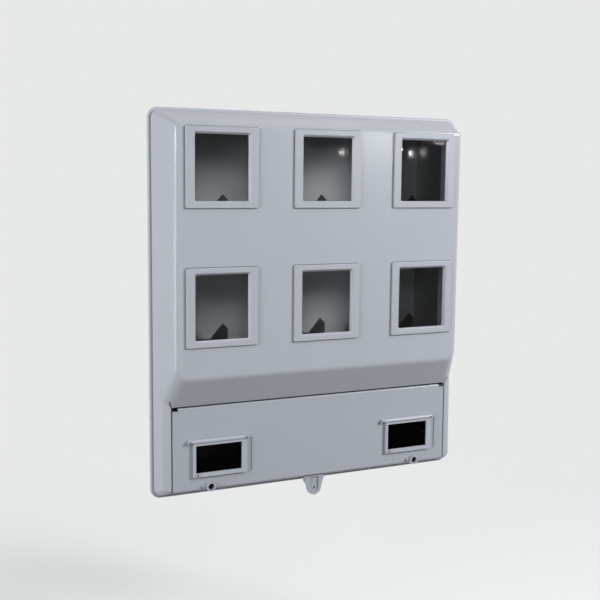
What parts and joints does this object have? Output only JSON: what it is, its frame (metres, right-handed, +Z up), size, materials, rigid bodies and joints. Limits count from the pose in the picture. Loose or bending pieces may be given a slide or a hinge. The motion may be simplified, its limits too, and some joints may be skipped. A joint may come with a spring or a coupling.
{
  "type": "electric meter box",
  "caption": "Wall-mounted plastic meter box with framed windows over a sloped band, and a hinged lower cover with clear breaker flaps and a seal lug.",
  "frame": {"origin": "middle of the base tray's back face, on the wall", "axes": "+X to the right seen from the front, +Y into the wall, +Z up"},
  "size_m": [0.558, 0.14, 0.635],
  "materials": {
    "base_plastic": "fine matte moulding",
    "cover_plastic": "satin moulding",
    "frame_plastic": "satin moulding",
    "clear_pane": "clear polycarbonate",
    "black_rubber": "matte",
    "black_plastic": "matte moulding",
    "rail_steel": "zinc plated",
    "screw_steel": "zinc plated",
    "bar_brass": "plain brass",
    "support_plastic": "insulating moulding",
    "seal_plastic": "matte moulding"
  },
  "bodies": {
    "case": {"base_tray": "base_plastic", "bracket_screws": "screw_steel", "breaker_rail_left": "rail_steel", "breaker_rail_right": "rail_steel", "cable_grommet_left": "black_rubber", "cable_grommet_middle": "black_rubber", "cable_grommet_right": "black_rubber", "cover_gasket": "black_rubber", "cover_screws": "screw_steel", "main_cover": "cover_plastic", "meter_bracket_bottom_left": "black_plastic", "meter_bracket_bottom_middle": "black_plastic", "meter_bracket_bottom_right": "black_plastic", "meter_bracket_top_left": "black_plastic", "meter_bracket_top_middle": "black_plastic", "meter_bracket_top_right": "black_plastic", "neutral_bar": "bar_brass", "neutral_bar_screws": "screw_steel", "neutral_bar_supports": "support_plastic", "rail_screws": "screw_steel", "window_frame_bottom_left": "frame_plastic", "window_frame_bottom_middle": "frame_plastic", "window_frame_bottom_right": "frame_plastic", "window_frame_top_left": "frame_plastic", "window_frame_top_middle": "frame_plastic", "window_frame_top_right": "frame_plastic", "window_pane_bottom_left": "clear_pane", "window_pane_bottom_middle": "clear_pane", "window_pane_bottom_right": "clear_pane", "window_pane_top_left": "clear_pane", "window_pane_top_middle": "clear_pane", "window_pane_top_right": "clear_pane"},
    "terminal_cover": {"terminal_cover": "cover_plastic", "terminal_cover_pins": "screw_steel", "flap_pin_left": "screw_steel", "flap_pin_right": "screw_steel"},
    "flap_left": {"breaker_flap_left": "frame_plastic", "breaker_pane_left": "clear_pane"},
    "flap_right": {"breaker_flap_right": "frame_plastic", "breaker_pane_right": "clear_pane"},
    "seal_screw_left": {"seal_screw_left": "seal_plastic"},
    "seal_screw_right": {"seal_screw_right": "seal_plastic"}
  },
  "joints": [
    {"name": "terminal_cover_hinge", "type": "hinge", "parent": "case", "child": "terminal_cover", "pos_m": [0, -0.1015, -0.1626], "axis": [-1, 0, 0], "range_deg": [0, 95]},
    {"name": "flap_hinge_left", "type": "hinge", "parent": "terminal_cover", "child": "flap_left", "pos_m": [-0.175, -0.1096, -0.21315], "axis": [-1, 0, 0], "range_deg": [0, 90]},
    {"name": "flap_hinge_right", "type": "hinge", "parent": "terminal_cover", "child": "flap_right", "pos_m": [0.175, -0.1096, -0.21315], "axis": [-1, 0, 0], "range_deg": [0, 90]},
    {"name": "seal_screw_turn_left", "type": "hinge", "parent": "terminal_cover", "child": "seal_screw_left", "pos_m": [-0.189, -0.102, -0.2875], "axis": [0, 1, 0], "continuous": true},
    {"name": "seal_screw_turn_right", "type": "hinge", "parent": "terminal_cover", "child": "seal_screw_right", "pos_m": [0.189, -0.102, -0.2875], "axis": [0, 1, 0], "continuous": true}
  ]
}
